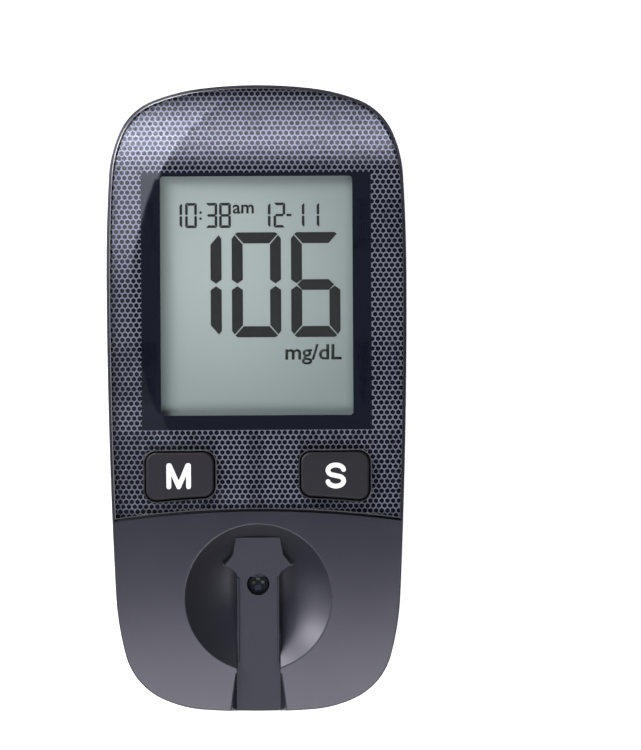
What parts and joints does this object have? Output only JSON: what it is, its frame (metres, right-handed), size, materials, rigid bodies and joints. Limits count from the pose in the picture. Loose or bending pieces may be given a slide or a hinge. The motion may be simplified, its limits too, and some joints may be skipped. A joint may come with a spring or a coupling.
{
  "type": "blood glucose meter",
  "caption": "Handheld blood glucose meter with a crowned glossy face, a liquid crystal display, memory and set keys, and a round dish with a strip guide at its foot.",
  "frame": {"origin": "centre of the flat back, on the surface that the meter lies on", "axes": "+Z out of the display, +Y along the case towards the display end, +X to the right of someone reading the display"},
  "size_m": [0.0468, 0.0978, 0.0191],
  "materials": {
    "shell_plastic": "fine satin",
    "rear_plastic": "fine satin",
    "clear_lens": "clear polished",
    "print_film": "printed",
    "adhesive": "matte",
    "foam": "matte",
    "polariser": "clear",
    "glass": "clear polished",
    "reflector": "satin",
    "holder_plastic": "matte",
    "zebra": "matte",
    "board": "solder mask",
    "black_plastic": "matte",
    "package": "matte",
    "bright_metal": "bright",
    "ceramic": "matte",
    "carbon": "matte",
    "silicone": "matte",
    "key_plastic": "satin",
    "guide_plastic": "fine satin",
    "window_glass": "clear polished",
    "led": "clear",
    "sensor": "glossy",
    "foil": "brushed",
    "door_plastic": "fine satin",
    "cell_steel": "brushed",
    "contact_metal": "bright",
    "spring_steel": "bright",
    "screw_steel": "zinc black",
    "chip_plastic": "satin"
  },
  "bodies": {
    "case": {"front_shell": "shell_plastic", "rear_shell": "rear_plastic", "display_lens": "clear_lens", "printed_film": "print_film", "lens_adhesive": "adhesive", "lcd_gasket": "foam", "front_polariser": "polariser", "lcd_front_glass": "glass", "lcd_rear_glass": "glass", "reflector": "reflector", "lcd_holder": "holder_plastic", "zebra_connectors": "zebra", "circuit_board": "board", "buzzer": "black_plastic", "microcontroller": "package", "board_chips": "package", "crystal": "bright_metal", "capacitors": "ceramic", "key_contact_pads": "carbon", "keypad_mat": "silicone", "optics_block": "black_plastic", "measuring_leds": "led", "photodiode": "sensor", "battery_contact_negative": "spring_steel", "battery_contact_positive": "spring_steel", "coin_cell": "cell_steel", "code_chip_socket": "black_plastic", "code_chip_contacts": "contact_metal", "data_socket_shell": "bright_metal", "data_socket_tongue": "black_plastic", "case_screws": "screw_steel", "board_screws": "screw_steel", "rating_plate": "foil"},
    "memory_key": {"memory_key": "key_plastic", "memory_key_plunger": "silicone", "memory_key_pill": "carbon"},
    "set_key": {"set_key": "key_plastic", "set_key_plunger": "silicone", "set_key_pill": "carbon"},
    "strip_guide": {"strip_guide": "guide_plastic", "measuring_window": "window_glass"},
    "release_button": {"release_button": "guide_plastic", "release_spring": "spring_steel"},
    "battery_door": {"battery_door": "door_plastic"},
    "code_chip": {"code_chip": "chip_plastic"}
  },
  "joints": [
    {"name": "memory_key_press", "type": "slide", "parent": "case", "child": "memory_key", "axis": [0, 0, -1], "range_m": [0, 0.0006], "stiffness_N_per_m": 3000},
    {"name": "set_key_press", "type": "slide", "parent": "case", "child": "set_key", "axis": [0, 0, -1], "range_m": [0, 0.0006], "stiffness_N_per_m": 3000},
    {"name": "strip_guide_lift", "type": "slide", "parent": "case", "child": "strip_guide", "axis": [0, -0.1276, 0.9918], "range_m": [0, 0.02]},
    {"name": "release_press", "type": "slide", "parent": "case", "child": "release_button", "axis": [0, 0, 1], "range_m": [0, 0.001], "stiffness_N_per_m": 1500},
    {"name": "battery_door_swing", "type": "hinge", "parent": "case", "child": "battery_door", "pos_m": [0, 0.0102, 0.00095], "axis": [-1, 0, 0], "range_deg": [0, 75]},
    {"name": "code_chip_pull", "type": "slide", "parent": "case", "child": "code_chip", "axis": [-1, 0, 0], "range_m": [0, 0.016]}
  ]
}
